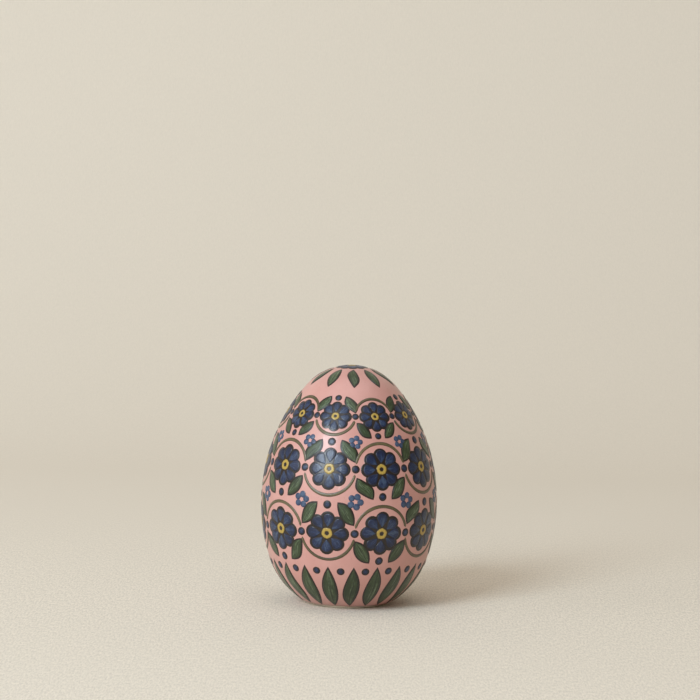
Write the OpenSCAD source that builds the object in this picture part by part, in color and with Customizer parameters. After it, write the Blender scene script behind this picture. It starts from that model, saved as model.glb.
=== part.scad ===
/* [Egg] */
// Height of the glazed egg above its foot
egg_h = 66; // [62:0.5:70]
// Radius of the rounded tip
tip_r = 16.6; // [15.6:0.1:17.6]
// Radius of the long side curve
side_r = 50; // [47:0.5:54]
// Height of the centre of the lower rounding above the foot
belly_h = 20.2; // [19.6:0.1:20.8]
// Depth of the foot's flat, from the lowest point of the lower rounding if it were whole
flat_depth = 2.9; // [2.4:0.1:3.6]
// Rounding where the side turns under to the foot
foot_round = 1.2; // [0.8:0.1:1.6]

/* [Cast body] */
// Thickness of the slip-cast wall
wall_t = 3; // [2.4:0.1:4]
// Thickness of the floor over the foot recess
floor_t = 3; // [2.4:0.1:4]
// Rounding inside, where the wall meets the floor
inner_round = 2; // [1:0.1:3]
// Radius of the recess inside the foot ring
recess_r = 7.6; // [6:0.1:8.4]
// Depth of the recess inside the foot ring
recess_h = 1; // [0.6:0.1:1.4]
// Radius of the vent hole through the floor
vent_r = 3.1; // [2.9:0.1:3.6]

/* [Glazes] */
// Thickness of the pink ground glaze
glaze_t = 0.3; // [0.2:0.05:0.4]
// Height of the bare clay left below the ground glaze
dry_foot_h = 0.6; // [0.5:0.1:0.8]
// Thickness of the clear glaze in the recess
base_glaze_t = 0.2; // [0.15:0.05:0.3]
// Bare clay left round the vent hole and along the recess wall
base_glaze_margin = 0.8; // [0.4:0.1:1.2]

/* [Enamel] */
// Thickness of the dark coat that shows as outlines
outline_t = 0.12; // [0.08:0.01:0.15]
// Thickness of the coloured coat on the dark one
colour_t = 0.15; // [0.1:0.01:0.2]
// Width of the dark outlines
line_w = 0.4; // [0.3:0.05:0.45]
// Width of the vines
vine_w = 0.9; // [0.6:0.1:1]
// Bare glaze left between two neighbouring strokes
stroke_gap = 0.3; // [0.2:0.05:0.35]

/* [Pattern] */
// Number of blossoms round each garland
bays = 10; // [8:2:10]
// Petals on a blossom
petals = 8; // [7:1:9]
// Petals on a bud
bud_petals = 5; // [4:1:6]
// Slope of the glaze under the leaf border, in degrees from upright
border_tilt = -37; // [-37.5:0.25:-36.5]
// Slope of the glaze under the border's berries
border_berry_tilt = -21.5; // [-22.5:0.25:-21]
// Slope of the glaze under the lower garland
lower_tilt = -6.5; // [-7:0.25:-6]
// Slope of the glaze under the middle garland
middle_tilt = 13.5; // [13:0.25:14]
// Slope of the glaze under the upper garland
upper_tilt = 30.5; // [30:0.25:31]
// Slope of the glaze under the leaves of the crown
crown_tilt = 57.5; // [57:0.25:58]
// Length of a border leaf
border_leaf_l = 13.5; // [11:0.25:13.5]
// Width of a border leaf
border_leaf_w = 3.6; // [2.8:0.1:3.8]
// Radius of a border berry
border_berry_r = 0.7; // [0.5:0.05:0.8]
// Length of a crown leaf
crown_leaf_l = 7; // [6:0.25:7.25]
// Width of a crown leaf
crown_leaf_w = 2.4; // [1.8:0.1:2.5]
// Radius of the blossom on the tip
crown_blossom_r = 4.2; // [3.6:0.1:4.3]

/* [Hidden] */
$fn = 96;
// Reach of a cut past the face that it opens
overrun = 1;
// Reach of a motif's cutter under the glaze, before it is trimmed to its coat
cut_depth = 5;
// Turn of the whole pattern about the egg's axis, in degrees
pattern_turn = 4;
// Turn of the seam in the middle garland's dark coat, clear of its blossoms and berries, in degrees
middle_seam_turn = 19;
// Turn by which a tighter arc of the outline runs on under its flatter neighbour, in degrees
arc_lap = 10;
// How far a tighter arc stands proud of its neighbour, so that the two cross and never just touch
arc_step = 0.003;

// Sizes of a garland's motifs, as shares of the radius of its vine's arcs
blossom_share = 0.76;
leaf_width_share = 0.4;
bud_share = 0.31;
berry_share = 0.1;
// Place of the berry that hangs under a blossom, as a share of the same radius
berry_drop_share = 1.05;
// Sizes of a blossom's parts, as shares of its radius
disc_share = 0.27;
dot_share = 0.1;
petal_tip_share = 0.97;
petal_width_share = 0.37;
// Share by which neighbouring scallops run into each other
scallop_lap_share = 1.1;
// Share of a leaf's width that lies on its outer side
outer_side_share = 0.56;
// Where a garland leaf starts and ends, in degrees from the bay's middle line
leaf_from = 20;
leaf_to = 69;
// How far a garland leaf's end lies from the blossom's middle, as a share of its vine's arc
leaf_end_share = 1.16;

// Radius of the lower rounding, so that the foot's flat always cuts it
belly_r = belly_h + flat_depth;
// Centres of the three arcs that make up the outline
tip_h = egg_h - tip_r;
tip_reach = side_r - tip_r;
belly_reach = side_r - belly_r;
side_h = (belly_reach * belly_reach - tip_reach * tip_reach + tip_h * tip_h - belly_h * belly_h)
    / (2 * (tip_h - belly_h));
side_out = sqrt(tip_reach * tip_reach - (tip_h - side_h) * (tip_h - side_h));
// Slopes at which one arc hands over to the next
shoulder = atan2(tip_h - side_h, side_out);
waist = atan2(belly_h - side_h, side_out);
half_bay = 180 / bays;

// Point of the glazed surface, as radius and height, where the surface has the given slope
function egg_point(tilt) =
    tilt > shoulder ? [tip_r * cos(tilt), tip_h + tip_r * sin(tilt)] :
    tilt > waist ? [side_r * cos(tilt) - side_out, side_h + side_r * sin(tilt)] :
    [belly_r * cos(tilt), belly_h + belly_r * sin(tilt)];

// Radius of the vine's arcs: half the way to the next blossom, seen along the blossom's own axis
function arc_r(tilt) = egg_point(tilt)[0]
    * sqrt(pow(sin(half_bay), 2) + pow((1 - cos(half_bay)) * sin(tilt), 2));

// Height at which two arcs of the vine meet, seen along the blossom's own axis
function arc_meet(tilt) = egg_point(tilt)[0] * (1 - cos(half_bay)) * sin(tilt);

// Turn from a bay's middle line to the point where its vine meets the next
function meet_turn(tilt) = asin(arc_meet(tilt) / arc_r(tilt));

// Radius of the circle through both ends of a chord that bulges by the given rise
function bulge_r(chord, rise) = (chord * chord / 4 + rise * rise) / (2 * rise);

// Distance from the axis of the centre of the rounding between side and flat, for an outline sunk by inset
function round_x(inset, flat_h, round_r) =
    sqrt(pow(belly_r - inset - round_r, 2) - pow(belly_h - flat_h - round_r, 2));

ground_pink = "#ecb4a8";
clay_white = "#efe6d8";
clear_cream = "#f4ead6";
outline_brown = "#3a241b";
vine_brown = "#6d6238";
leaf_green = "#46653f";
petal_blue = "#2f4688";
bud_blue = "#5f7fb4";
berry_blue = "#31498f";
disc_yellow = "#cfa63e";

// Slice of a disc between two directions, as the outline's arcs need it
module slice(x, y, r, from, to) {
    middle = (from + to) / 2;
    reach = 2 * r;
    translate([x, y]) intersection() {
        circle(r);
        polygon([
            [0, 0],
            [reach * cos(from), reach * sin(from)],
            [reach * cos(middle), reach * sin(middle)],
            [reach * cos(to), reach * sin(to)]
        ]);
    }
}

// Disc round a point
module circle_at(x, y, r) {
    translate([x, y]) circle(r);
}

// Half of the egg's section, sunk by inset and standing on a flat at the given height
module half_section(inset, flat_h, round_r) {
    corner_x = round_x(inset, flat_h, round_r);
    corner_y = flat_h + round_r;
    corner = atan2(corner_y - belly_h, corner_x);
    intersection() {
        union() {
            circle_at(0, tip_h, tip_r + arc_step - inset);
            slice(-side_out, side_h, side_r - inset, waist, shoulder);
            slice(0, belly_h, belly_r + arc_step - inset, corner, waist + arc_lap);
            circle_at(corner_x, corner_y, round_r + 2 * arc_step);
            polygon([
                [-overrun, flat_h - overrun],
                [corner_x, flat_h - overrun],
                [corner_x, corner_y],
                [corner_x / 2, belly_h],
                [corner_x / 2, tip_h],
                [-overrun, tip_h]
            ]);
        }
        translate([0, flat_h]) square([side_r, egg_h]);
    }
}

// Puts a flat motif on the glaze where the glaze has the given slope, upright and facing out
module on_glaze(tilt) {
    place = egg_point(tilt);
    translate([place[0], 0, place[1]]) rotate([0, 90 - tilt, 0]) rotate([0, 0, 90]) children();
}

// Skin of enamel over one of the glaze's three arcs, between two levels above the glaze
module skin(tilt, low, high) {
    rotate_extrude() intersection() {
        if (tilt > shoulder) {
            difference() {
                circle_at(0, tip_h, tip_r + arc_step + high);
                circle_at(0, tip_h, tip_r + arc_step + low);
            }
        } else if (tilt > waist) {
            difference() {
                slice(-side_out, side_h, side_r + high, waist, shoulder);
                circle_at(-side_out, side_h, side_r + low);
            }
        } else {
            difference() {
                circle_at(0, belly_h, belly_r + arc_step + high);
                circle_at(0, belly_h, belly_r + arc_step + low);
            }
        }
        square([side_r, 2 * egg_h]);
    }
}

// Levels above the glaze of the dark coat, of the coloured coat on it, and of strokes as thick as both
function dark_coat() = [0, outline_t];
function colour_coat() = [outline_t, outline_t + colour_t];
function thick_coat() = [0, outline_t + colour_t];

// Motifs trimmed to a coat of enamel, over the arc of the glaze that has the given slope
module enamel(tilt, coat, seam_turn = 0) {
    intersection() {
        rotate(seam_turn) skin(tilt, coat[0], coat[1]);
        union() children();
    }
}

// Cutter of a flat motif, set on the glaze at the given slope and turn
module motif(tilt, turn) {
    rotate(turn + pattern_turn) on_glaze(tilt) translate([0, 0, -cut_depth])
        linear_extrude(cut_depth + overrun) children();
}

// Pointed blade along X between two arcs that share their ends, by the rise of either arc over the chord
module blade(chord, top, bottom, grow = 0) {
    top_r = bulge_r(chord, top);
    low_r = bulge_r(chord, bottom);
    intersection() {
        circle_at(chord / 2, top - top_r, top_r + grow);
        circle_at(chord / 2, low_r - bottom, low_r + grow);
    }
}

// Leaf along X, or its dark shape where it is grown by the outline
module leaf(chord, width, grow = 0) {
    top = width * outer_side_share;
    blade(chord, top, width - top, grow);
}

// Scalloped shape of overlapping round petals
module scallops(r, count, grow = 0) {
    petal_x = r / (1 + scallop_lap_share * sin(180 / count));
    circle(petal_x);
    for (k = [0 : count - 1]) {
        rotate(k * 360 / count) circle_at(petal_x, 0, r - petal_x + grow);
    }
}

// Pointed petals round a disc
module petal_ring(r, count) {
    from = r * disc_share + stroke_gap;
    half_w = r * petal_width_share / 2;
    for (k = [0 : count - 1]) {
        rotate(k * 360 / count) translate([from, 0]) blade(r * petal_tip_share - from, half_w, half_w);
    }
}

// Disc of a blossom round its dot
module disc_ring(r) {
    difference() {
        circle(r * disc_share);
        circle(r * dot_share);
    }
}

// Motif in every bay of a garland, turned over in every second one
module each_bay(tilt) {
    for (k = [0 : bays - 1]) {
        motif(tilt, 2 * half_bay * k) rotate(k % 2 == 0 ? 0 : 180) children();
    }
}

// Motif between every two bays
module between_bays(tilt) {
    for (k = [0 : bays - 1]) {
        motif(tilt, half_bay * (2 * k + 1)) children();
    }
}

// Start, span, length and width of a garland's leaf
function leaf_start(tilt) = arc_r(tilt) * [cos(leaf_from), -sin(leaf_from)];
function leaf_span(tilt) = arc_r(tilt) * leaf_end_share * [cos(leaf_to), -sin(leaf_to)] - leaf_start(tilt);
function leaf_l(tilt) = norm(leaf_span(tilt));
function leaf_w(tilt) = arc_r(tilt) * leaf_width_share;

// Sets a leaf on either side of the blossom, from the vine's joint towards the bay's open end
module at_leaves(tilt) {
    span = leaf_span(tilt);
    for (side = [0, 1]) {
        mirror([side, 0]) translate(leaf_start(tilt)) rotate(atan2(span[1], span[0])) children();
    }
}

// Dark shapes under a garland's blossoms, leaves and berries
module garland_outlines(tilt, seam_turn = 0) {
    r = arc_r(tilt);
    color(outline_brown) enamel(tilt, dark_coat(), seam_turn) {
        each_bay(tilt) {
            scallops(r * blossom_share, petals, line_w);
            at_leaves(tilt) leaf(leaf_l(tilt), leaf_w(tilt), line_w);
            circle_at(0, -r * berry_drop_share, r * berry_share + line_w);
        }
        between_bays(tilt) circle(r * berry_share + line_w);
    }
}

// Arcs of a garland's vine, over and under every second blossom, up to the berries between the bays
module garland_vine(tilt) {
    r = arc_r(tilt);
    end_turn = asin((r * berry_share + line_w + stroke_gap) / r);
    color(vine_brown) enamel(tilt, thick_coat()) {
        for (k = [0 : bays - 1]) {
            over = k % 2 == 0;
            start = (over ? meet_turn(tilt) : -meet_turn(tilt)) + end_turn;
            motif(tilt, 2 * half_bay * k) rotate(over ? 0 : 180) difference() {
                slice(0, 0, r + vine_w / 2, start, 180 - start);
                circle(r - vine_w / 2);
            }
        }
    }
}

module garland_leaves(tilt) {
    color(leaf_green) enamel(tilt, colour_coat()) each_bay(tilt) at_leaves(tilt)
        leaf(leaf_l(tilt), leaf_w(tilt));
}

module garland_berries(tilt) {
    r = arc_r(tilt);
    color(berry_blue) enamel(tilt, colour_coat()) {
        each_bay(tilt) circle_at(0, -r * berry_drop_share, r * berry_share);
        between_bays(tilt) circle(r * berry_share);
    }
}

module garland_petals(tilt) {
    color(petal_blue) enamel(tilt, colour_coat()) each_bay(tilt)
        petal_ring(arc_r(tilt) * blossom_share, petals);
}

module garland_centres(tilt) {
    color(disc_yellow) enamel(tilt, colour_coat()) each_bay(tilt) disc_ring(arc_r(tilt) * blossom_share);
}

// Small blossoms in the free places between two garlands
module buds(tilt) {
    r = arc_r(tilt) * bud_share;
    color(bud_blue) enamel(tilt, thick_coat()) between_bays(tilt) difference() {
        scallops(r, bud_petals);
        circle(r * disc_share);
    }
}

module cast_body() {
    color(clay_white) rotate_extrude() difference() {
        half_section(glaze_t, 0, foot_round - glaze_t);
        half_section(wall_t, recess_h + floor_t, inner_round);
        square([recess_r, recess_h]);
        square([vent_r, recess_h + floor_t + overrun]);
    }
}

module ground_glaze() {
    color(ground_pink) rotate_extrude() intersection() {
        difference() {
            half_section(0, 0, foot_round);
            half_section(glaze_t, 0, foot_round - glaze_t);
        }
        translate([0, dry_foot_h]) square([side_r, egg_h]);
    }
}

module base_glaze() {
    color(clear_cream) rotate_extrude() translate([vent_r + base_glaze_margin, recess_h - base_glaze_t])
        square([recess_r - vent_r - 2 * base_glaze_margin, base_glaze_t]);
}

// Upright leaves round the foot, two to a bay, with a berry between every two points
module border_leaf_ring(grow) {
    for (k = [0 : 2 * bays - 1]) {
        motif(border_tilt, half_bay * k) rotate(90) translate([-border_leaf_l / 2, 0])
            leaf(border_leaf_l, border_leaf_w, grow);
    }
}

module border_berry_ring(grow) {
    for (k = [0 : 2 * bays - 1]) {
        motif(border_berry_tilt, half_bay * (k + 1 / 2)) circle(border_berry_r + grow);
    }
}

module border_outlines() {
    color(outline_brown) enamel(border_tilt, dark_coat()) {
        border_leaf_ring(line_w);
        border_berry_ring(line_w);
    }
}

module border_leaves() {
    color(leaf_green) enamel(border_tilt, colour_coat()) border_leaf_ring(0);
}

module border_berries() {
    color(berry_blue) enamel(border_tilt, colour_coat()) border_berry_ring(0);
}

// Leaves that point to the tip, round the blossom on it
module crown_leaf_ring(grow) {
    for (k = [0 : bays - 1]) {
        motif(crown_tilt, half_bay * (2 * k + 1)) rotate(90) translate([-crown_leaf_l / 2, 0])
            leaf(crown_leaf_l, crown_leaf_w, grow);
    }
}

module crown_outlines() {
    color(outline_brown) enamel(90, dark_coat()) {
        crown_leaf_ring(line_w);
        motif(90, 0) scallops(crown_blossom_r, bays, line_w);
    }
}

module crown_leaves() {
    color(leaf_green) enamel(90, colour_coat()) crown_leaf_ring(0);
}

module crown_petals() {
    color(petal_blue) enamel(90, colour_coat()) motif(90, 0) petal_ring(crown_blossom_r, bays);
}

module crown_centre() {
    color(disc_yellow) enamel(90, colour_coat()) motif(90, 0) disc_ring(crown_blossom_r);
}

cast_body();
ground_glaze();
base_glaze();
border_outlines();
border_leaves();
border_berries();
garland_outlines(lower_tilt);  // lower_outlines
garland_vine(lower_tilt);  // lower_vine
garland_leaves(lower_tilt);  // lower_leaves
garland_berries(lower_tilt);  // lower_berries
garland_petals(lower_tilt);  // lower_petals
garland_centres(lower_tilt);  // lower_centres
buds((lower_tilt + middle_tilt) / 2);  // lower_buds
garland_outlines(middle_tilt, middle_seam_turn);  // middle_outlines
garland_vine(middle_tilt);  // middle_vine
garland_leaves(middle_tilt);  // middle_leaves
garland_berries(middle_tilt);  // middle_berries
garland_petals(middle_tilt);  // middle_petals
garland_centres(middle_tilt);  // middle_centres
buds((middle_tilt + upper_tilt) / 2);  // middle_buds
garland_outlines(upper_tilt);  // upper_outlines
garland_vine(upper_tilt);  // upper_vine
garland_leaves(upper_tilt);  // upper_leaves
garland_berries(upper_tilt);  // upper_berries
garland_petals(upper_tilt);  // upper_petals
garland_centres(upper_tilt);  // upper_centres
crown_outlines();
crown_leaves();
crown_petals();
crown_centre();
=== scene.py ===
import math
import random

import bmesh
import bpy
import numpy as np
from bpy.props import EnumProperty, FloatProperty, FloatVectorProperty, IntProperty, PointerProperty
from mathutils import Matrix, Vector


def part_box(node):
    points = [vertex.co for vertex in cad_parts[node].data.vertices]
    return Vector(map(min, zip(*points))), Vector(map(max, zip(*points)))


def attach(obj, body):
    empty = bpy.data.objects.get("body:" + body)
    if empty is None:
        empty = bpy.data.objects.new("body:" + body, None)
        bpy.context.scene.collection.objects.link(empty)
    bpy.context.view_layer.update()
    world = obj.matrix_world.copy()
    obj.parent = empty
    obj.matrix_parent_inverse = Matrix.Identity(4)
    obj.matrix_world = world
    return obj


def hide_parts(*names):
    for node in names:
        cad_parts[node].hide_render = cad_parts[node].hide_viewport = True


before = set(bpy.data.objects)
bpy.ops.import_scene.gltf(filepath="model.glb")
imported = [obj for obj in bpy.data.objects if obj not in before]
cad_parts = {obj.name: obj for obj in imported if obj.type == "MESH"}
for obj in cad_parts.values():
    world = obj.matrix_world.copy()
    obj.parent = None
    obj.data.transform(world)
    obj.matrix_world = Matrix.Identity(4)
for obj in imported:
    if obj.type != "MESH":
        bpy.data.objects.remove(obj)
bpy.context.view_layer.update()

bl_info = {
    "name": "Ceramic egg",
    "version": (1, 0, 0),
    "blender": (4, 5, 0),
    "location": "View3D > Sidebar > Egg",
    "description": "Glazed ceramic egg with garlands of raised enamel",
    "category": "Add Mesh",
}

MM = 0.001
BANDS = ("lower", "middle", "upper")
# Distances under which neighbouring points become one: along a seam, in a dab's middle and at the egg's tip
MERGE_GAP = 1e-7
DAB_MERGE_GAP = 1e-5
TIP_MERGE_GAP = 1e-6
# First seed of the hand for each group of pieces
SEEDS = {
    "border": 11, "lower": 100, "middle": 200, "upper": 300,
    "lower_buds": 400, "middle_buds": 401, "crown": 500}
# Slot of each kind of piece, after its group's name
SLOTS = {
    "outlines": "outline_enamel", "vine": "vine_enamel", "leaves": "leaf_enamel", "berries": "berry_enamel",
    "petals": "petal_enamel", "buds": "bud_enamel", "centres": "yellow_enamel", "centre": "yellow_enamel"}
# Steps along and across a stroke, or outwards and round a dab
PETAL_STEPS = (12, 6)
LEAF_STEPS = (16, 8)
VINE_STEPS = (40, 4)
DARK_BERRY_STEPS = (3, 20)
BERRY_STEPS = (4, 20)
BUD_STEPS = (4, 18)
DISC_STEPS = (5, 30)
SCALLOP_STEPS = 6
STEPS_PER_SCALLOP = 8
# Steps of the glaze from its lower edge to the tip, outside and inside, and round the egg
GLAZE_STEPS = (120, 24)
GLAZE_TURNS = 192
# Waves of the glaze's lower edge: how many go round the egg, their start and their height
EDGE_WAVES = ((3, 0.7, 1), (7, 2.1, 0.6), (17, 0, 0.4))
# How far up the glaze they reach
EDGE_REACH = 2 * MM
# Rounds in which a drawn point closes in on its place over the glaze
LAY_ROUNDS = 8
# Steps of the cloth's bend
BEND_STEPS = 48
# Weight and roughness of the clear gloss on the glaze and the enamels, and its weight in the recess
GLOSS = 0.2
GLOSS_ROUGHNESS = 0.08
RECESS_GLOSS = 0.5
# Height on the egg that the lights aim at
AIM_HEIGHT = 30 * MM
SENSOR_WIDTH = 36


def length(name, description, default):
    return FloatProperty(name=name, description=description, default=default, unit="LENGTH", precision=5)


def share(name, description, default):
    return FloatProperty(name=name, description=description, default=default, min=0, max=2)


def slope(name, description, degrees):
    return FloatProperty(name=name, description=description, default=math.radians(degrees), subtype="ANGLE")


def power(name, description, watts):
    return FloatProperty(name=name, description=description, default=watts, min=0, unit="POWER")


def paint(name, description, red, green, blue):
    return FloatVectorProperty(
        name=name, description=description, default=(red, green, blue), min=0, max=1, size=3, subtype="COLOR")


class EggSizes(bpy.types.PropertyGroup):
    """Sizes of the glazed body"""
    height: length("Height", "Height of the glazed egg above its foot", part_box("ground_glaze")[1].z)
    tip_radius: length("Tip radius", "Radius of the rounded tip", 16.6 * MM)
    side_radius: length("Side radius", "Radius of the long side curve", 50 * MM)
    belly_radius: length("Belly radius", "Radius of the lower rounding", 23.1 * MM)
    belly_height: length("Belly height", "Height of the centre of the lower rounding", 20.2 * MM)
    glaze_thickness: length("Glaze thickness", "Thickness of the ground glaze", 0.3 * MM)
    bare_foot: length("Bare foot", "Height of the bare clay below the glaze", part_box("ground_glaze")[0].z)
    glaze_wobble: length("Glaze wobble", "How far the lower edge of the glaze wanders", 0.1 * MM)


class EnamelSizes(bpy.types.PropertyGroup):
    """Sizes of the enamel strokes"""
    outline_thickness: length("Outline thickness", "Thickness of the dark coat", 0.055 * MM)
    colour_thickness: length("Colour thickness", "Thickness of the coloured coat on it", 0.055 * MM)
    sink: length("Sink", "How far a stroke's back lies under the coat that it is fired on", 0.04 * MM)
    line_width: length("Line width", "Width of the dark outlines", 0.4 * MM)
    vine_width: length("Vine width", "Width of the vines", 0.9 * MM)
    stroke_gap: length("Stroke gap", "Bare place between two neighbouring strokes", 0.3 * MM)
    wobble: share("Hand wobble", "How unevenly the strokes are laid by hand", 1.0)


class PatternSizes(bpy.types.PropertyGroup):
    """Layout of the garlands, border and crown"""
    bays: IntProperty(name="Bays", description="Blossoms round each garland", default=10, min=4)
    petals: IntProperty(name="Petals", description="Petals on a blossom", default=8, min=4)
    bud_petals: IntProperty(name="Bud petals", description="Petals on a bud", default=5, min=3)
    turn: slope("Turn", "Turn of the whole pattern about the egg's axis", 4)
    border_slope: slope("Border slope", "Slope of the glaze under the leaf border", -37)
    border_berry_slope: slope("Border berry slope", "Slope of the glaze under the border's berries", -21.5)
    lower_slope: slope("Lower slope", "Slope of the glaze under the lower garland", -6.5)
    middle_slope: slope("Middle slope", "Slope of the glaze under the middle garland", 13.5)
    upper_slope: slope("Upper slope", "Slope of the glaze under the upper garland", 30.5)
    crown_slope: slope("Crown slope", "Slope of the glaze under the crown's leaves", 57.5)
    border_leaf_length: length("Border leaf length", "Length of a border leaf", 13.5 * MM)
    border_leaf_width: length("Border leaf width", "Width of a border leaf", 3.6 * MM)
    border_berry_radius: length("Border berry radius", "Radius of a border berry", 0.7 * MM)
    crown_leaf_length: length("Crown leaf length", "Length of a crown leaf", 7 * MM)
    crown_leaf_width: length("Crown leaf width", "Width of a crown leaf", 2.4 * MM)
    crown_blossom_radius: length("Crown blossom radius", "Radius of the blossom on the tip", 4.2 * MM)
    blossom_share: share("Blossom", "Radius of a blossom, by its vine's arc", 0.76)
    leaf_width_share: share("Leaf width", "Width of a garland leaf, by its vine's arc", 0.4)
    bud_share: share("Bud", "Radius of a bud, by the vine's arc", 0.31)
    berry_share: share("Berry", "Radius of a garland berry, by its vine's arc", 0.1)
    berry_drop_share: share("Berry drop", "Place of the hanging berry, by its vine's arc", 1.05)
    disc_share: share("Disc", "Radius of a blossom's yellow disc, by the blossom's", 0.27)
    dot_share: share("Dot", "Radius of the dark dot in the disc, by the blossom's", 0.1)
    petal_tip_share: share("Petal tip", "Reach of a petal, by the blossom's radius", 0.97)
    petal_width_share: share("Petal width", "Width of a petal, by the blossom's radius", 0.53)
    scallop_lap_share: share("Scallop lap", "How far neighbouring scallops run into each other", 1.1)
    outer_side_share: share("Outer side", "Share of a leaf's width on its outer side", 0.56)
    leaf_end_share: share("Leaf end", "Reach of a leaf's end from the blossom, by the vine's arc", 1.16)
    leaf_from: slope("Leaf from", "Where a garland leaf starts, from the bay's middle line", 20)
    leaf_to: slope("Leaf to", "Where a garland leaf ends, from the bay's middle line", 69)


class EggColours(bpy.types.PropertyGroup):
    """Colours of the clay, the glazes and the enamels, in linear light"""
    clay: paint("Clay", "Bare fired clay", 0.80, 0.72, 0.60)
    clear: paint("Clear glaze", "Clear glaze in the recess", 0.85, 0.78, 0.64)
    pink: paint("Pink", "Ground glaze", 0.590, 0.308, 0.269)
    pink_deep: paint("Deep pink", "Ground glaze where it lies thicker", 0.545, 0.264, 0.226)
    outline: paint("Outline", "Dark outlines", 0.016, 0.009, 0.006)
    vine: paint("Vine", "Vines", 0.095, 0.075, 0.034)
    leaf: paint("Leaf", "Leaves", 0.036, 0.057, 0.020)
    leaf_light: paint("Light leaf", "Light streaks on the leaves", 0.165, 0.220, 0.125)
    leaf_deep: paint("Deep leaf", "Dark side of the leaves", 0.008, 0.014, 0.006)
    blue: paint("Blue", "Petals", 0.008, 0.020, 0.066)
    blue_light: paint("Light blue", "Light strokes on the petals", 0.045, 0.074, 0.135)
    blue_deep: paint("Deep blue", "Dark rim of the petals", 0.004, 0.007, 0.026)
    yellow: paint("Yellow", "Discs of the blossoms", 0.44, 0.295, 0.058)
    yellow_deep: paint("Deep yellow", "Rim of the discs", 0.12, 0.075, 0.018)


class StageSizes(bpy.types.PropertyGroup):
    """Cloth sweep, lights and camera"""
    cloth_width: length("Cloth width", "Width of the cloth sweep", 3.0)
    cloth_front: length("Cloth front", "Reach of the cloth towards the camera", 1.0)
    cloth_back: length("Cloth back", "Where the cloth starts to rise behind the egg", 0.30)
    cloth_bend: length("Cloth bend", "Radius of the cloth's rise", 0.45)
    cloth_rise: length("Cloth rise", "Height of the cloth's upright part", 1.2)
    cloth: paint("Cloth", "Colour of the cloth", 0.728, 0.659, 0.562)
    lens: FloatProperty(name="Lens", description="Focal length in mm on a 36 mm wide sensor", default=141.94)
    camera_side: length("Camera side", "Camera's place along X", -0.65 * MM)
    camera_back: length("Camera back", "Camera's distance in front of the egg", 760.3 * MM)
    camera_height: length("Camera height", "Camera's height above the cloth", 127.2 * MM)
    camera_pitch: slope("Camera pitch", "How far the camera looks down", 4.285)
    camera_roll: slope("Camera roll", "Turn of the camera about its own view", 1.25)
    soft_power: power("Soft light power", "Power of the soft light in front on the left", 20.3)
    soft_colour: paint("Soft light colour", "Colour of the soft light", 0.752, 0.889, 1.0)
    window_power: power("Window power", "Power of the wide light on the left", 9.2)
    overhead_power: power("Overhead power", "Power of the light over the egg", 6.7)
    strip_power: power("Strip power", "Power of the narrow light beside the camera", 1.3)
    lamp_colour: paint("Lamp colour", "Colour of the other lights", 1.0, 1.0, 1.0)
    fill_colour: paint("Fill colour", "Colour of the even fill", 1.0, 0.854, 0.669)
    fill_strength: FloatProperty(name="Fill strength", description="Strength of the even fill", default=0.24)


class EggForm:
    """The egg's outline of three arcs, and places on its glazed surface"""

    def __init__(self, sizes):
        self.tip_r = sizes.tip_radius
        self.side_r = sizes.side_radius
        self.belly_r = sizes.belly_radius
        self.belly_h = sizes.belly_height
        self.tip_h = sizes.height - self.tip_r
        tip_reach = self.side_r - self.tip_r
        belly_reach = self.side_r - self.belly_r
        self.side_h = (belly_reach ** 2 - tip_reach ** 2 + self.tip_h ** 2 - self.belly_h ** 2) \
            / (2 * (self.tip_h - self.belly_h))
        self.side_out = math.sqrt(tip_reach ** 2 - (self.tip_h - self.side_h) ** 2)
        self.shoulder = math.atan2(self.tip_h - self.side_h, self.side_out)
        self.waist = math.atan2(self.belly_h - self.side_h, self.side_out)

    def point(self, tilt, lift=0):
        """Radius and height of the surface where it has the given slope"""
        if tilt > self.shoulder:
            centre, radius = (0, self.tip_h), self.tip_r
        elif tilt > self.waist:
            centre, radius = (-self.side_out, self.side_h), self.side_r
        else:
            centre, radius = (0, self.belly_h), self.belly_r
        return (centre[0] + (radius + lift) * math.cos(tilt), centre[1] + (radius + lift) * math.sin(tilt))

    def gap(self, points):
        """Distance of each point from the glazed surface, and the way out there"""
        round_r = np.hypot(points[:, 0], points[:, 1])
        tilt = np.arctan2(points[:, 2] - self.side_h, round_r + self.side_out)
        on_tip = tilt > self.shoulder
        on_belly = tilt < self.waist
        centre_r = np.where(on_tip | on_belly, 0, -self.side_out)
        centre_h = np.where(on_tip, self.tip_h, np.where(on_belly, self.belly_h, self.side_h))
        radius = np.where(on_tip, self.tip_r, np.where(on_belly, self.belly_r, self.side_r))
        out_r, out_h = round_r - centre_r, points[:, 2] - centre_h
        reach = np.hypot(out_r, out_h)
        around = points[:, :2] / np.maximum(round_r, MERGE_GAP)[:, None]
        way = np.column_stack([around * (out_r / reach)[:, None], out_h / reach])
        return reach - radius, way

    def place(self, tilt, turn):
        """Frame of a flat motif on the glaze: X to the right, Y upwards and Z outwards"""
        radius, height = self.point(tilt)
        out = Vector((math.cos(turn), math.sin(turn), 0))
        right = Vector((-math.sin(turn), math.cos(turn), 0))
        upright = Vector((0, 0, 1))
        away = out * math.cos(tilt) + upright * math.sin(tilt)
        up = upright * math.cos(tilt) - out * math.sin(tilt)
        matrix = Matrix((right, up, away)).transposed().to_4x4()
        matrix.translation = out * radius + upright * height
        return matrix

    def lay(self, verts, place):
        """Moves flat drawn points, whose Z is their height over the glaze, on to it along the motif's Z"""
        flat = np.array([vert.co for vert in verts])
        lift = flat[:, 2].copy()
        flat[:, 2] = 0
        turn = np.array(place.to_3x3())
        points = flat @ turn.T + np.array(place.translation)
        away = turn[:, 2]
        for _ in range(LAY_ROUNDS):
            gap, way = self.gap(points)
            points += ((lift - gap) / (way @ away))[:, None] * away
        for vert, point in zip(verts, points):
            vert.co = point


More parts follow.
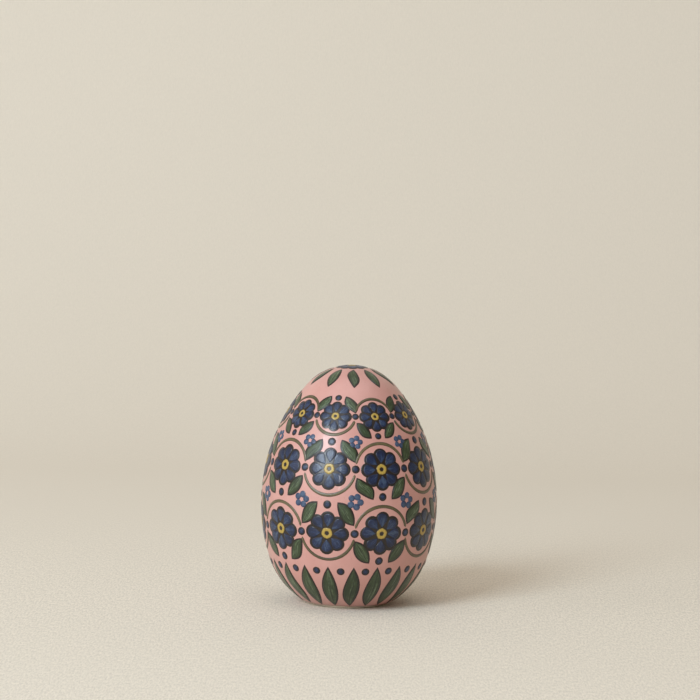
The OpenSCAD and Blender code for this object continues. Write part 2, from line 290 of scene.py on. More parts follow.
def bulge_radius(chord, rise):
    """Radius of an arc over a chord"""
    return (chord * chord / 4 + rise * rise) / (2 * rise)


def blade_side(chord, rise, x):
    """Distance of a blade's edge from its chord"""
    radius = bulge_radius(chord, rise)
    return math.sqrt(max(radius ** 2 - (x - chord / 2) ** 2, 0)) - (radius - rise)


def placed(name, data):
    """New object of the scene"""
    item = bpy.data.objects.new(name, data)
    bpy.context.scene.collection.objects.link(item)
    return item


def spin_round(bm, line, steps):
    """Joins points into a line and spins it once about the Z axis"""
    edges = [bm.edges.new(pair) for pair in zip(line, line[1:])]
    bmesh.ops.spin(bm, geom=line + edges, cent=(0, 0, 0), axis=(0, 0, 1), dvec=(0, 0, 0), angle=2 * math.pi,
                   space=Matrix.Identity(4), steps=steps, use_merge=True, use_normal_flip=False,
                   use_duplicate=False)


def smooth_outwards(bm):
    bmesh.ops.recalc_face_normals(bm, faces=bm.faces)
    for face in bm.faces:
        face.smooth = True


class Enamel:
    """One enamel piece in the making: strokes are drawn flat and then laid on the glaze"""

    def __init__(self, form, sizes, seed):
        self.form = form
        self.sizes = sizes
        self.hand = random.Random(seed)
        self.bm = bmesh.new()
        layers = self.bm.verts.layers.float
        self.along, self.across, self.tone = (layers.new(name) for name in ("along", "across", "tone"))

    def shake(self, amount):
        """Small seeded unevenness of the hand"""
        return self.hand.uniform(-amount, amount) * self.sizes.wobble

    def linked(self, start):
        """Every point of the patch that the given point is in"""
        found, fresh = {start}, [start]
        while fresh:
            around = {edge.other_vert(vert) for vert in fresh for edge in vert.link_edges}
            fresh = list(around - found)
            found |= around
        self.bm.verts.index_update()
        return sorted(found, key=lambda vert: vert.index)

    def raise_front(self, back, shape, lift, pen, place):
        """Doubles a flat patch into a closed stroke: its back sinks in the coat below, its front has lift"""
        tone = self.hand.random()
        faces = list(dict.fromkeys(face for vert in back for face in vert.link_faces))
        grown = bmesh.ops.extrude_face_region(self.bm, geom=faces, use_keep_orig=True)["geom"]
        front = [item for item in grown if isinstance(item, bmesh.types.BMVert)]
        for verts, raised in ((back, False), (front, True)):
            for vert in verts:
                along, across = vert[self.along], vert[self.across]
                x, y = shape(along, across)
                vert.co = pen @ Vector((x, y, 0))
                vert.co.z = lift(along, across) if raised else -self.sizes.sink
                vert[self.tone] = tone
        bmesh.ops.remove_doubles(self.bm, verts=back + front, dist=MERGE_GAP)
        self.form.lay([vert for vert in back + front if vert.is_valid], place)

    def stroke(self, place, pen, shape, lift, steps):
        """Brush stroke from a grid: shape gives the flat point for a share along it and a side across it"""
        grid = bmesh.ops.create_grid(self.bm, x_segments=steps[0], y_segments=steps[1], size=0.5)
        for vert in grid["verts"]:
            vert[self.along] = vert.co.x + 0.5
            vert[self.across] = math.sin(math.pi * vert.co.y)
        self.raise_front(grid["verts"], shape, lift, pen, place)

    def button(self, place, pen, rim, lift, steps, hole=0):
        """Round dab from a line spun about its middle: rim gives the radius for an angle"""
        line = [self.bm.verts.new((hole + (1 - hole) * k / steps[0], 0, 0)) for k in range(steps[0] + 1)]
        spin_round(self.bm, line, steps[1])
        bmesh.ops.remove_doubles(self.bm, verts=self.linked(line[-1]), dist=DAB_MERGE_GAP)
        verts = self.linked(next(vert for vert in reversed(line) if vert.is_valid))
        for vert in verts:
            reach = vert.co.xy.length
            vert[self.along] = math.atan2(vert.co.y, vert.co.x)
            vert[self.across] = math.sin(math.pi / 2 * reach) if not hole else reach

        def shape(angle, across):
            radius = rim(angle) * across
            return radius * math.cos(angle), radius * math.sin(angle)

        self.raise_front(verts, shape, lift, pen, place)


def add_piece(name, bm, material):
    """The finished piece, riding on the one body in place of its node"""
    mesh = bpy.data.meshes.new("painted_" + name)
    bm.to_mesh(mesh)
    bm.free()
    piece = placed("painted_" + name, mesh)
    mesh.materials.append(material)
    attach(piece, "root")
    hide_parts(name)


def dome(side, flatness=3):
    """Height of a rounded stroke, as a share, at a place from -1 to 1 across it"""
    return max(1 - abs(side) ** flatness, 0) ** (1 / flatness)


def turned(angle, shift=(0, 0)):
    """Turn about Z after a move along X and Y"""
    return Matrix.Rotation(angle, 4, "Z") @ Matrix.Translation((*shift, 0))


class Painter:
    """Draws the pattern's motifs, each with its dark shape below it"""

    def __init__(self, scene):
        self.sizes = scene.egg_enamel
        self.pattern = scene.egg_pattern
        self.form = EggForm(scene.egg_sizes)

    def enamels(self, group, count):
        """New enamels of a group of pieces, each laid by a hand of its own"""
        return [Enamel(self.form, self.sizes, SEEDS[group] + k) for k in range(count)]

    def place(self, tilt, turn):
        return self.form.place(tilt, turn + self.pattern.turn)

    def half_bay(self):
        return math.pi / self.pattern.bays

    def arc_radius(self, tilt):
        """Radius of the vine's arcs: half the way to the next blossom, along the blossom's own axis"""
        half_bay = self.half_bay()
        drop = (1 - math.cos(half_bay)) * math.sin(tilt)
        return self.form.point(tilt)[0] * math.hypot(math.sin(half_bay), drop)

    def meet_turn(self, tilt):
        """Turn from a bay's middle line to where its vine meets the next"""
        drop = (1 - math.cos(self.half_bay())) * math.sin(tilt)
        return math.asin(self.form.point(tilt)[0] * drop / self.arc_radius(tilt))

    def dark_lift(self, along, across):
        return self.sizes.outline_thickness * dome(across, 8)

    def colour_lift(self, along, across):
        return self.sizes.outline_thickness + self.sizes.colour_thickness * dome(across, 6)

    def scallop_rim(self, radius, count, grow=0):
        """Rim of overlapping round petals, as a radius for each angle"""
        middle = radius / (1 + self.pattern.scallop_lap_share * math.sin(math.pi / count))
        petal_r = radius - middle + grow

        def rim(angle):
            side = (angle + math.pi / count) % (2 * math.pi / count) - math.pi / count
            return middle * math.cos(side) + math.sqrt(max(petal_r ** 2 - (middle * math.sin(side)) ** 2, 0))

        return rim

    def draw_dark_scallops(self, dark, place, pen, radius, count):
        rim = self.scallop_rim(radius, count, self.sizes.line_width)
        phase, wander = dark.hand.uniform(0, 2 * math.pi), 0.06 * self.sizes.line_width * self.sizes.wobble

        def uneven(angle):
            return rim(angle) + wander * (math.sin(3 * angle + phase) + math.sin(7 * angle - phase))

        dark.button(place, pen, uneven, self.dark_lift, (SCALLOP_STEPS, count * STEPS_PER_SCALLOP))

    def draw_petals(self, petals, place, pen, radius, count):
        """Full petals round the disc, narrow at the disc and round at the rim"""
        start = radius * self.pattern.disc_share + self.sizes.stroke_gap
        for k in range(count):
            reach = radius * self.pattern.petal_tip_share * (1 + petals.shake(0.035)) - start
            half_width = radius * self.pattern.petal_width_share / 2 * (1 + petals.shake(0.08))
            bend = petals.shake(0.05) * radius

            def shape(along, across, reach=reach, half_width=half_width, bend=bend):
                bulge = max(math.sin(math.pi * along ** 1.6), 0) ** 0.6
                return start + reach * along, across * half_width * bulge + bend * math.sin(math.pi * along)

            def lift(along, across):
                crown = dome(across, 5) * dome(2 * along - 1, 8)
                return self.sizes.outline_thickness + self.sizes.colour_thickness * crown

            petal_pen = pen @ turned(2 * math.pi * k / count + petals.shake(0.045))
            petals.stroke(place, petal_pen, shape, lift, PETAL_STEPS)

    def draw_disc(self, centres, place, pen, radius):
        hole = self.pattern.dot_share / self.pattern.disc_share
        disc_r = radius * self.pattern.disc_share

        def lift(angle, across):
            side = (2 * across - 1 - hole) / (1 - hole)
            return self.sizes.outline_thickness + self.sizes.colour_thickness * dome(side)

        def rim(angle):
            return disc_r * (1 + 0.03 * math.sin(5 * angle))

        centres.button(place, pen, rim, lift, DISC_STEPS, hole)

    def draw_leaf(self, dark, leaves, place, pen, chord, width):
        """Leaf along X over its dark shape"""
        outer = width * self.pattern.outer_side_share
        sway = leaves.shake(0.14) * width
        line_width = self.sizes.line_width
        for enamel, grow, lift in ((dark, line_width, self.dark_lift), (leaves, 0, self.colour_lift)):
            radius = bulge_radius(chord, width / 2)
            half = math.sqrt((radius + grow) ** 2 - (radius - width / 2) ** 2)
            over = half - chord / 2

            def shape(along, across, grow=grow, half=half, over=over):
                rise = grow + (outer if across > 0 else width - outer)
                x = 2 * half * along
                line = sway * math.sin(2 * math.pi * along)
                return x - over, across * blade_side(2 * half, rise, x) + line

            enamel.stroke(place, pen, shape, lift, LEAF_STEPS)

    def draw_berry(self, dark, berries, place, pen, radius):
        line = self.sizes.line_width
        dark.button(place, pen, lambda angle: radius + line, self.dark_lift, DARK_BERRY_STEPS)
        berries.button(place, pen, lambda angle: radius, self.colour_lift, BERRY_STEPS)

    def draw_vine(self, vine, place, pen, radius, start):
        """Arc of the vine from one berry to the next, pressed harder in its middle"""
        phase = vine.hand.uniform(0, 2 * math.pi)

        def shape(along, across):
            angle = start + (math.pi - 2 * start) * along
            press = dome(2 * along - 1, 10) * (0.82 + 0.18 * math.sin(math.pi * along)
                                              + 0.05 * math.sin(9 * along + phase))
            reach = radius + across * self.sizes.vine_width / 2 * press
            return reach * math.cos(angle), reach * math.sin(angle)

        def lift(along, across):
            return (self.sizes.outline_thickness + self.sizes.colour_thickness) * dome(across)

        vine.stroke(place, pen, shape, lift, VINE_STEPS)

    def draw_bud(self, buds, place, pen, radius):
        """Small blossom of overlapping round dabs round an open eye"""
        count = self.pattern.bud_petals
        middle = radius / (1 + self.pattern.scallop_lap_share * math.sin(math.pi / count))
        for k in range(count):
            dab_r = (radius - middle) * (1 + buds.shake(0.05))
            dab_pen = pen @ turned(2 * math.pi * k / count + buds.shake(0.05), (middle, 0))

            def lift(angle, across):
                return (self.sizes.outline_thickness + self.sizes.colour_thickness) * dome(across, 2.4)

            buds.button(place, dab_pen, lambda angle: dab_r, lift, BUD_STEPS)


class Signal:
    """Socket of a finish in the making, so that shader maths reads as Python"""

    def __init__(self, finish, socket):
        self.finish = finish
        self.socket = socket

    def maths(self, operation, first, second=None):
        values = {0: first} if second is None else {0: first, 1: second}
        return self.finish.node("ShaderNodeMath", {"operation": operation}, values)

    def __add__(self, other):
        return self.maths("ADD", self, other)

    def __sub__(self, other):
        return self.maths("SUBTRACT", self, other)

    def __rsub__(self, other):
        return self.maths("SUBTRACT", other, self)

    def __mul__(self, other):
        return self.maths("MULTIPLY", self, other)

    def __pow__(self, other):
        return self.maths("POWER", self, other)

    def __abs__(self):
        return self.maths("ABSOLUTE", self)

    __radd__ = __add__
    __rmul__ = __mul__

    def ease(self, low, high):
        """0 under low, 1 over high and a soft step between"""
        return self.finish.node("ShaderNodeMapRange", {"interpolation_type": "SMOOTHSTEP", "clamp": True},
                                {"Value": self, "From Min": low, "From Max": high})


class Finish:
    """Node material of one finish"""

    def __init__(self, name):
        self.material = bpy.data.materials.new(name)
        self.material.use_nodes = True
        self.tree = self.material.node_tree
        self.tree.nodes.clear()

    def node(self, kind, settings=None, values=None, output=0):
        """New node: its settings first, then values or links for its sockets"""
        node = self.tree.nodes.new(kind)
        settings = dict(settings or {})
        stops = settings.pop("stops", None)
        for name, value in settings.items():
            setattr(node, name, value)
        if stops:
            elements = node.color_ramp.elements
            while len(elements) < len(stops):
                elements.new(1)
            for element, (position, colour) in zip(elements, stops):
                element.position = position
                element.color = (*colour, 1)
        for name, value in (values or {}).items():
            if isinstance(value, Signal):
                self.tree.links.new(value.socket, node.inputs[name])
            else:
                node.inputs[name].default_value = value
        return Signal(self, node.outputs[output]) if node.outputs else None

    def mark(self, name):
        """Number stored on the strokes' points"""
        return self.node("ShaderNodeAttribute", {"attribute_name": name}, output="Fac")

    def places(self, scale=(1, 1, 1)):
        """Place on the object in metres, scaled"""
        place = self.node("ShaderNodeTexCoord", output="Object")
        return self.node("ShaderNodeMapping", {"vector_type": "POINT"}, {"Vector": place, "Scale": scale})

    def joined(self, x, y, z):
        """Place from three numbers"""
        return self.node("ShaderNodeCombineXYZ", None, {0: x, 1: y, 2: z})

    def noise(self, vector, scale, detail=2, roughness=0.5):
        values = {"Vector": vector, "Scale": scale, "Detail": detail, "Roughness": roughness}
        return self.node("ShaderNodeTexNoise", None, values)

    def mixed(self, factor, first, second):
        """Colour between two colours"""
        first, second = ((*value, 1) if not isinstance(value, Signal) else value for value in (first, second))
        return self.node("ShaderNodeMix", {"data_type": "RGBA"}, {0: factor, 6: first, 7: second}, output=2)

    def ramp(self, factor, stops):
        return self.node("ShaderNodeValToRGB", {"stops": stops}, {"Fac": factor})

    def bump(self, height, distance, under=None):
        """Fine relief of the given depth, over the relief under it"""
        values = {"Height": height, "Distance": distance}
        if under is not None:
            values["Normal"] = under
        return self.node("ShaderNodeBump", None, values)

    def done(self, colour, roughness, normal, gloss=0.0):
        """Principled surface, under a clear gloss of the given weight"""
        values = {"Base Color": colour, "Roughness": roughness, "Normal": normal, "Coat Weight": gloss,
                  "Coat Roughness": GLOSS_ROUGHNESS}
        surface = self.node("ShaderNodeBsdfPrincipled", None, values)
        self.node("ShaderNodeOutputMaterial", None, {"Surface": surface})
        return self.material


def shaded(colour, level):
    """The same colour, darker or lighter"""
    return tuple(value * level for value in colour)


def glaze_finish(colours, sizes):
    """Pink ground glaze: slightly clouded, deeper where it pools over the foot, with a soft orange peel"""
    finish = Finish("pink_ground_glaze")
    clouds = finish.noise(finish.places(), 70, 4, 0.55)
    drift = finish.noise(finish.places((1, 1, 0.45)), 260, 3, 0.6)
    body = finish.mixed((clouds * 0.75 + drift * 0.35).ease(0.38, 0.78), colours.pink, colours.pink_deep)
    specks = finish.noise(finish.places(), 2600, 1, 0.4).ease(0.755, 0.79) * 0.35
    body = finish.mixed(specks, body, colours.outline)
    height = finish.node("ShaderNodeSeparateXYZ", None, {0: finish.places()}, output="Z")
    pooled = 1 - height.ease(sizes.bare_foot, sizes.bare_foot + 0.8 * MM)
    body = finish.mixed(pooled * 0.55, body, shaded(colours.pink_deep, 0.62))
    peel = finish.bump(finish.noise(finish.places(), 420, 2, 0.5), 0.012 * MM)
    waves = finish.bump(finish.noise(finish.places(), 130, 2, 0.5), 0.05 * MM, under=peel)
    roughness = 0.33 + finish.noise(finish.places(), 300, 3, 0.6) * 0.10
    return finish.done(body, roughness, waves, GLOSS)


def enamel_finish(name, light, body, deep, streaks=7.0, rim=2.6, fade=0.0, veined=False):
    """Enamel laid with a loaded brush: streaky, deep where it pools along the rim, light where it starts"""
    finish = Finish(name)
    along, across, tone = finish.mark("along"), finish.mark("across"), finish.mark("tone")
    brush = finish.noise(finish.joined(along * 1.6, across * streaks * 0.5, tone * 31), 1.7, 3, 0.6)
    grain = finish.noise(finish.places(), 900, 3, 0.65)
    pooled = abs(across) ** rim * 0.5
    depth = pooled + (brush - 0.5) * 1.9 + (grain - 0.5) * 0.6 + (along - 0.5) * fade + tone * 0.3 + 0.22
    colour = finish.ramp(depth, [(0.0, light), (0.42, body), (0.95, deep)])
    if veined:
        shade = (across * 0.5 + 0.5 + (brush - 0.5) * 0.7).ease(0.3, 0.7)
        colour = finish.mixed(shade * 0.6, colour, shaded(body, 0.75))
        wander = across + (finish.noise(finish.joined(along * 3, tone * 17, 0), 2.0, 1) - 0.5) * 0.3
        vein = (1 - abs(wander).ease(0.03, 0.12)) * (1 - abs(along - 0.5).ease(0.36, 0.5))
        colour = finish.mixed(vein * 0.75, colour, deep)
    ridges = finish.noise(finish.joined(along * 2, across * streaks * 0.8, tone * 13), 3.0, 2)
    ripple = finish.bump(ridges, 0.03 * MM)
    fine = finish.bump(grain, 0.015 * MM, under=ripple)
    roughness = 0.32 + grain * 0.12
    return finish.done(colour, roughness, fine, GLOSS)


def disc_finish(colours):
    """Yellow disc, brown towards the dot and the rim, with short dark strokes round it"""
    finish = Finish("painted_yellow_enamel")
    along, across, tone = finish.mark("along"), finish.mark("across"), finish.mark("tone")
    ring = abs(across - 0.68).ease(0.10, 0.34)
    ticks = finish.node("ShaderNodeMath", {"operation": "SINE"}, {0: along * 10 + tone * 6})
    grain = finish.noise(finish.places(), 1500, 2, 0.6)
    depth = ring * 0.8 + ticks * 0.16 + grain * 0.4 - 0.18
    colour = finish.ramp(
        depth, [(0.0, colours.yellow), (0.45, shaded(colours.yellow, 0.8)), (1.0, colours.yellow_deep)])
    return finish.done(colour, 0.38, finish.bump(grain, 0.02 * MM), GLOSS)


def clay_finish(colours):
    """Bare fired clay with fine pores and faint stains scattered at random"""
    finish = Finish("bare_fired_clay")
    pores = finish.noise(finish.places(), 1800, 3, 0.7)
    stain = finish.noise(finish.places(), 120, 3, 0.5)
    colour = finish.mixed(stain.ease(0.35, 0.75) * 0.5, colours.clay, shaded(colours.clay, 0.72))
    colour = finish.mixed(pores.ease(0.62, 0.72) * 0.5, colour, shaded(colours.clay, 0.4))
    return finish.done(colour, 0.82, finish.bump(pores, 0.06 * MM))


def clear_finish(colours):
    """Thin clear glaze over the clay in the recess"""
    finish = Finish("clear_recess_glaze")
    clouds = finish.noise(finish.places(), 400, 3, 0.5)
    colour = finish.mixed(clouds, colours.clear, shaded(colours.clear, 0.8))
    return finish.done(colour, 0.16, finish.bump(clouds, 0.03 * MM), RECESS_GLOSS)


def cloth_finish(stage):
    """Fine plain weave: two crossing sets of uneven threads, clearest beside the egg and softer behind it"""
    finish = Finish("woven_cloth")
    across = finish.noise(finish.places((500, 1500, 1500)), 1.0, 3, 0.6)
    down = finish.noise(finish.places((3300, 700, 700)), 1.0, 3, 0.65)
    slubs = finish.noise(finish.places((1900, 420, 420)), 1.0, 2, 0.5)
    cloud = finish.noise(finish.places(), 9, 3, 0.5)
    far = finish.node("ShaderNodeSeparateXYZ", None, {0: finish.places()}, output="Y")
    behind, beside = far.ease(0.0, 0.2) * 0.86, far.ease(-0.09, -0.02) * 0.25
    weave = (across * 0.5 + down + slubs - 1.25) * (1 - behind) * (0.75 + beside)
    tone = (cloud - 0.5) * 0.06 + weave * 2.6 + 0.5
    colour = finish.mixed(tone, shaded(stage.cloth, 0.88), shaded(stage.cloth, 1.12))
    return finish.done(colour, 0.9, finish.bump(weave, 0.05 * MM))


class EggStep:
    """What every step of the build shares"""
    bl_options = {"REGISTER", "UNDO"}


class EGG_OT_finish_clay(EggStep, bpy.types.Operator):
    """Gives the cast body and the glaze in its recess their finishes"""
    bl_idname = "egg.finish_clay"
    bl_label = "Finish the cast body"

    def execute(self, context):
        colours = context.scene.egg_colours
        for name, material in (("cast_body", clay_finish(colours)), ("base_glaze", clear_finish(colours))):
            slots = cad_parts[name].data.materials
            if not slots:
                slots.append(material)
            for index in range(len(slots)):
                slots[index] = material
        return {"FINISHED"}


class EGG_OT_pour_glaze(EggStep, bpy.types.Operator):
    """Pours the ground glaze: one closed shell spun from the egg's outline, with a soft uneven lower edge"""
    bl_idname = "egg.pour_glaze"
    bl_label = "Pour the ground glaze"

    def execute(self, context):
        sizes = context.scene.egg_sizes
        form = EggForm(sizes)
        low = math.asin((sizes.bare_foot - form.belly_h) / form.belly_r)

        def arc(steps, lift):
            return [form.point(math.pi / 2 + (low - math.pi / 2) * k / steps, lift) for k in range(steps + 1)]

        outer, inner = arc(GLAZE_STEPS[0], 0), arc(GLAZE_STEPS[1], -sizes.glaze_thickness)
        bm = bmesh.new()
        line = [bm.verts.new((radius, 0, height)) for radius, height in outer + inner[::-1]]
        spin_round(bm, line, GLAZE_TURNS)
        bmesh.ops.remove_doubles(bm, verts=bm.verts, dist=TIP_MERGE_GAP)
        smooth_outwards(bm)
        crest = sum(height for count, start, height in EDGE_WAVES)
        for vert in bm.verts:
            angle = math.atan2(vert.co.y, vert.co.x)
            fade = max(1 - (vert.co.z - sizes.bare_foot) / EDGE_REACH, 0)
            wander = sum(height * math.sin(count * angle + start) for count, start, height in EDGE_WAVES)
            vert.co.z += sizes.glaze_wobble * (wander / crest + 1) * fade
        add_piece("ground_glaze", bm, glaze_finish(context.scene.egg_colours, sizes))
        return {"FINISHED"}


class EnamelStep(EggStep):
    """What the enamel steps share: how their pieces end"""

    def fire(self, context, group, **enamels):
        """Ends each piece of a group with its finish"""
        finishes = paint_box(context.scene.egg_colours)
        for part, enamel in enamels.items():
            smooth_outwards(enamel.bm)
            add_piece(group + "_" + part, enamel.bm, finishes[SLOTS[part]])


class EGG_OT_paint_border(EnamelStep, bpy.types.Operator):
    """Paints the upright leaves round the foot and the berries between their points"""
    bl_idname = "egg.paint_border"
    bl_label = "Paint the border"

    def execute(self, context):
        painter = Painter(context.scene)
        pattern = painter.pattern
        dark, leaves, berries = painter.enamels("border", 3)
        for k in range(2 * pattern.bays):
            place = painter.place(pattern.border_slope, painter.half_bay() * k)
            reach = pattern.border_leaf_length
            pen = turned(math.pi / 2 + leaves.shake(0.02), (-reach / 2, 0))
            painter.draw_leaf(dark, leaves, place, pen, reach, pattern.border_leaf_width)
            place = painter.place(pattern.border_berry_slope, painter.half_bay() * (k + 0.5))
            painter.draw_berry(dark, berries, place, turned(0), pattern.border_berry_radius)
        self.fire(context, "border", outlines=dark, leaves=leaves, berries=berries)
        return {"FINISHED"}


class EGG_OT_paint_garland(EnamelStep, bpy.types.Operator):
    """Paints one garland: vine, leaves, berries and blossoms in every bay, turned over in every second one"""
    bl_idname = "egg.paint_garland"
    bl_label = "Paint a garland"

    band: EnumProperty(name="Band", description="Which garland", items=[
        (name, name.title(), name + " garland") for name in BANDS])

    def execute(self, context):
        painter = Painter(context.scene)
        pattern, sizes = painter.pattern, painter.sizes
        tilt = getattr(pattern, self.band + "_slope")
        dark, vine, leaves, berries, petals, centres = painter.enamels(self.band, 6)
        arc = painter.arc_radius(tilt)
        berry_r, blossom_r = arc * pattern.berry_share, arc * pattern.blossom_share
        end_turn = math.asin((berry_r + sizes.line_width + sizes.stroke_gap) / arc)
        start = Vector((math.cos(pattern.leaf_from), -math.sin(pattern.leaf_from))) * arc
        end = Vector((math.cos(pattern.leaf_to), -math.sin(pattern.leaf_to))) * arc * pattern.leaf_end_share
        span = end - start
        slant = turned(math.atan2(span.y, span.x))
        for k in range(pattern.bays):
            over = k % 2 == 0
            flip = 0 if over else math.pi
            place = painter.place(tilt, 2 * painter.half_bay() * k)
            meet = painter.meet_turn(tilt) if over else -painter.meet_turn(tilt)
            painter.draw_vine(vine, place, turned(flip), arc, meet + end_turn)
            for mirror in (1, -1):
                side = Matrix.Scale(mirror, 4, (1, 0, 0))
                pen = turned(flip) @ side @ Matrix.Translation((*start, 0)) @ slant
                painter.draw_leaf(dark, leaves, place, pen, span.length, arc * pattern.leaf_width_share)
            drop = turned(flip) @ Matrix.Translation((0, -arc * pattern.berry_drop_share, 0))
            painter.draw_berry(dark, berries, place, drop, berry_r)
            spin = turned(flip + petals.shake(0.08))
            painter.draw_dark_scallops(dark, place, spin, blossom_r, pattern.petals)
            painter.draw_petals(petals, place, spin, blossom_r, pattern.petals)
            painter.draw_disc(centres, place, spin, blossom_r)
            between = painter.place(tilt, painter.half_bay() * (2 * k + 1))
            painter.draw_berry(dark, berries, between, turned(0), berry_r)
        self.fire(context, self.band, outlines=dark, vine=vine, leaves=leaves, berries=berries,
                  petals=petals, centres=centres)
        return {"FINISHED"}


class EGG_OT_paint_buds(EnamelStep, bpy.types.Operator):
    """Paints the small blossoms over one garland, between its bays and those of the next"""
    bl_idname = "egg.paint_buds"
    bl_label = "Paint the buds"

    band: EnumProperty(name="Band", description="Garland below the buds", items=[
        (name, name.title(), name + " buds") for name in BANDS[:-1]])

    def execute(self, context):
        painter = Painter(context.scene)
        pattern = painter.pattern
        below = BANDS.index(self.band)
        tilt = sum(getattr(pattern, band + "_slope") for band in BANDS[below:below + 2]) / 2
        radius = painter.arc_radius(tilt) * pattern.bud_share
        buds, = painter.enamels(self.band + "_buds", 1)
        for k in range(pattern.bays):
            place = painter.place(tilt, painter.half_bay() * (2 * k + 1))
            painter.draw_bud(buds, place, turned(buds.shake(0.2)), radius)
        self.fire(context, self.band, buds=buds)
        return {"FINISHED"}


class EGG_OT_paint_crown(EnamelStep, bpy.types.Operator):
    """Paints the leaves that point to the tip and the blossom on it"""
    bl_idname = "egg.paint_crown"
    bl_label = "Paint the crown"

    def execute(self, context):
        painter = Painter(context.scene)
        pattern = painter.pattern
        dark, leaves, petals, centre = painter.enamels("crown", 4)
        reach = pattern.crown_leaf_length
        for k in range(pattern.bays):
            place = painter.place(pattern.crown_slope, painter.half_bay() * (2 * k + 1))
            pen = turned(math.pi / 2 + leaves.shake(0.03), (-reach / 2, 0))
            painter.draw_leaf(dark, leaves, place, pen, reach, pattern.crown_leaf_width)
        tip = painter.place(math.pi / 2, 0)
        painter.draw_dark_scallops(dark, tip, turned(0), pattern.crown_blossom_radius, pattern.bays)
        painter.draw_petals(petals, tip, turned(0), pattern.crown_blossom_radius, pattern.bays)
        painter.draw_disc(centre, tip, turned(0), pattern.crown_blossom_radius)
        self.fire(context, "crown", outlines=dark, leaves=leaves, petals=petals, centre=centre)
        return {"FINISHED"}


def paint_box(colours):
    """The enamels by their slots, made once"""
    outline, vine, pale = colours.outline, colours.vine, colours.blue_light
    blues = (pale, colours.blue, colours.blue_deep)
    kinds = {
        "outline_enamel": ((shaded(outline, 1.9), outline, shaded(outline, 0.6)), {}),
        "vine_enamel": ((shaded(vine, 1.8), vine, shaded(vine, 0.35)), {}),
        "leaf_enamel": ((colours.leaf_light, colours.leaf, colours.leaf_deep), {"veined": True}),
        "petal_enamel": (blues, {"streaks": 5, "rim": 2.2, "fade": 0.5}),
        "bud_enamel": ((shaded(pale, 1.5), pale, colours.blue), {"streaks": 3, "rim": 2}),
        "berry_enamel": (blues, {"streaks": 3, "rim": 2}),
    }
    made = bpy.data.materials
    box = {
        slot: made.get("painted_" + slot) or enamel_finish("painted_" + slot, *tones, **brush)
        for slot, (tones, brush) in kinds.items()}
    box["yellow_enamel"] = made.get("painted_yellow_enamel") or disc_finish(colours)
    return box


class EGG_OT_lay_cloth(EggStep, bpy.types.Operator):
    """Lays the plain cloth that the egg stands on and that rises behind it"""
    bl_idname = "egg.lay_cloth"
    bl_label = "Lay the cloth"

    def execute(self, context):
        stage = context.scene.egg_stage
        bm = bmesh.new()
        half = stage.cloth_width / 2
        line = [bm.verts.new((x, -stage.cloth_front, 0)) for x in (-half, half)]
        edges = [bm.edges.new(line)]

        def grow(move):
            grown = bmesh.ops.extrude_edge_only(bm, edges=edges)["geom"]
            edges[:] = [item for item in grown if isinstance(item, bmesh.types.BMEdge)]
            bmesh.ops.translate(
                bm, vec=move, verts=[item for item in grown if isinstance(item, bmesh.types.BMVert)])

        grow((0, stage.cloth_front + stage.cloth_back, 0))
        bend = bmesh.ops.spin(bm, geom=edges, cent=(0, stage.cloth_back, stage.cloth_bend), axis=(1, 0, 0),
                              dvec=(0, 0, 0), angle=math.pi / 2, space=Matrix.Identity(4), steps=BEND_STEPS,
                              use_merge=False, use_normal_flip=False, use_duplicate=False)["geom_last"]
        edges[:] = [item for item in bend if isinstance(item, bmesh.types.BMEdge)]
        grow((0, 0, stage.cloth_rise))
        smooth_outwards(bm)
        mesh = bpy.data.meshes.new("cloth_sweep")
        bm.to_mesh(mesh)
        bm.free()
        sweep = placed("cloth_sweep", mesh)
        mesh.materials.append(cloth_finish(stage))
        return {"FINISHED"}


class EGG_OT_set_lights(EggStep, bpy.types.Operator):
    """Sets a soft light in front on the left, a wide, an overhead and a narrow one, and an even fill"""
    bl_idname = "egg.set_lights"
    bl_label = "Set the lights"

    def execute(self, context):
        stage = context.scene.egg_stage
        aim = Vector((0, 0, AIM_HEIGHT))
        for name, turn, rise, distance, width, tall, watts, colour in (
                ("soft_light", -36, 30, 1.6, 0.56, 0.853, stage.soft_power, stage.soft_colour),
                ("window_light", -66, 22, 2.0, 1.867, 1.333, stage.window_power, stage.lamp_colour),
                ("overhead_light", 0, 80, 1.5, 1.5, 1.5, stage.overhead_power, stage.lamp_colour),
                ("strip_light", -13, 16, 1.2, 0.02, 0.4, stage.strip_power, stage.lamp_colour)):
            lamp = bpy.data.lights.new(name, "AREA")
            lamp.shape = "RECTANGLE"
            lamp.size, lamp.size_y = width, tall
            lamp.energy = watts
            lamp.color = colour
            holder = placed(name, lamp)
            turn, rise = math.radians(turn), math.radians(rise)
            way = Vector((math.sin(turn) * math.cos(rise), -math.cos(turn) * math.cos(rise), math.sin(rise)))
            holder.location = aim + way * distance
            holder.rotation_euler = way.to_track_quat("Z", "Y").to_euler()
        world = bpy.data.worlds.new("fill_light")
        world.use_nodes = True
        sky = world.node_tree.nodes["Background"]
        sky.inputs["Color"].default_value = (*stage.fill_colour, 1)
        sky.inputs["Strength"].default_value = stage.fill_strength
        context.scene.world = world
        return {"FINISHED"}


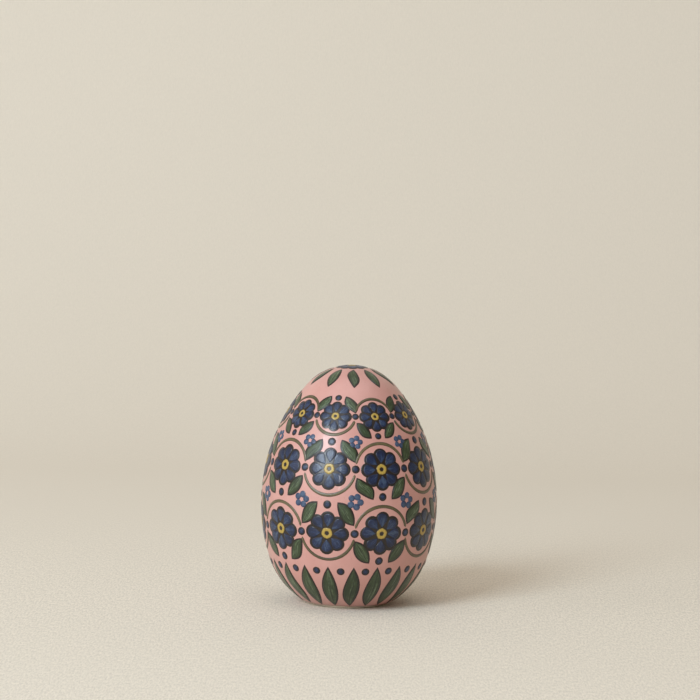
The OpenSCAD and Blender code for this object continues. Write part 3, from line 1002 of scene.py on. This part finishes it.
class EGG_OT_set_camera(EggStep, bpy.types.Operator):
    """Sets the camera at the photograph's viewing angle"""
    bl_idname = "egg.set_camera"
    bl_label = "Set the camera"

    def execute(self, context):
        stage = context.scene.egg_stage
        data = bpy.data.cameras.new("front_camera")
        data.sensor_fit, data.sensor_width, data.lens = "HORIZONTAL", SENSOR_WIDTH, stage.lens
        data.clip_start, data.clip_end = 0.01, 20
        camera = placed("front_camera", data)
        place = Matrix.Translation((stage.camera_side, -stage.camera_back, stage.camera_height))
        pitch = Matrix.Rotation(math.pi / 2 - stage.camera_pitch, 4, "X")
        camera.matrix_world = place @ pitch @ Matrix.Rotation(stage.camera_roll, 4, "Z")
        context.scene.camera = camera
        context.scene.view_settings.view_transform = "Standard"
        return {"FINISHED"}


STEPS = (
    (EGG_OT_finish_clay, {}),
    (EGG_OT_pour_glaze, {}),
    (EGG_OT_paint_border, {}),
    (EGG_OT_paint_garland, {"band": "lower"}),
    (EGG_OT_paint_garland, {"band": "middle"}),
    (EGG_OT_paint_garland, {"band": "upper"}),
    (EGG_OT_paint_buds, {"band": "lower"}),
    (EGG_OT_paint_buds, {"band": "middle"}),
    (EGG_OT_paint_crown, {}),
    (EGG_OT_lay_cloth, {}),
    (EGG_OT_set_lights, {}),
    (EGG_OT_set_camera, {}),
)
GROUPS = {
    "egg_sizes": EggSizes,
    "egg_enamel": EnamelSizes,
    "egg_pattern": PatternSizes,
    "egg_colours": EggColours,
    "egg_stage": StageSizes,
}


class EGG_PT_panel(bpy.types.Panel):
    """Lists the sizes and the steps"""
    bl_idname = "EGG_PT_panel"
    bl_label = "Ceramic egg"
    bl_space_type = "VIEW_3D"
    bl_region_type = "UI"
    bl_category = "Egg"

    def draw(self, context):
        for name, group in GROUPS.items():
            box = self.layout.box()
            box.label(text=group.__doc__)
            for field in group.__annotations__:
                box.prop(getattr(context.scene, name), field)
        for step, settings in STEPS:
            button = self.layout.operator(step.bl_idname, text=" ".join([step.bl_label, *settings.values()]))
            for key, value in settings.items():
                setattr(button, key, value)


def register():
    for group in GROUPS.values():
        bpy.utils.register_class(group)
    for name, group in GROUPS.items():
        setattr(bpy.types.Scene, name, PointerProperty(type=group))
    for step in dict.fromkeys(step for step, settings in STEPS):
        bpy.utils.register_class(step)
    bpy.utils.register_class(EGG_PT_panel)


def unregister():
    bpy.utils.unregister_class(EGG_PT_panel)
    for step in dict.fromkeys(step for step, settings in STEPS):
        bpy.utils.unregister_class(step)
    for name, group in GROUPS.items():
        delattr(bpy.types.Scene, name)
        bpy.utils.unregister_class(group)


def main():
    register()
    for step, settings in STEPS:
        category, name = step.bl_idname.split(".")
        getattr(getattr(bpy.ops, category), name)(**settings)


if __name__ == "__main__":
    main()
